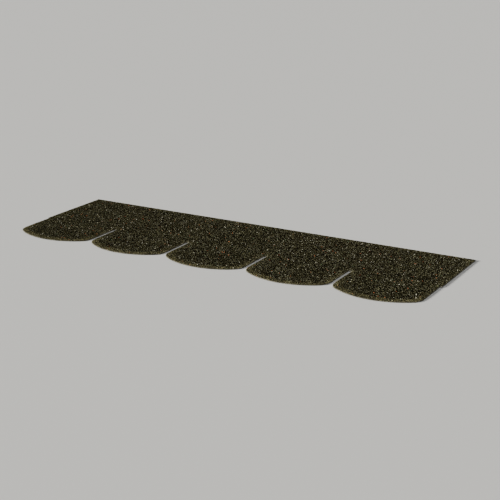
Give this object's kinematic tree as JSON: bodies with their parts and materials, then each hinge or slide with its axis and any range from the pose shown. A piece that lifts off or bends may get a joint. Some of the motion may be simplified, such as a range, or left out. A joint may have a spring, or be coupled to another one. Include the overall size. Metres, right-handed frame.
{
  "type": "beaver-tail asphalt shingle strip",
  "caption": "Flat granule-surfaced asphalt roofing strip, die cut along its lower edge into round-ended tabs with drainage slots; it overlaps its neighbours to shed water.",
  "frame": {"origin": "middle of the back face, halfway along the strip and halfway between the butt line and the head edge", "axes": "+X along the course, +Y up the roof from the tabs to the head edge, +Z out of the weathered face"},
  "size_m": [1, 0.336, 0.003],
  "materials": {
    "granulated_asphalt": "matte"
  },
  "bodies": {
    "root": {"shingle_strip": "granulated_asphalt"}
  },
  "joints": []
}
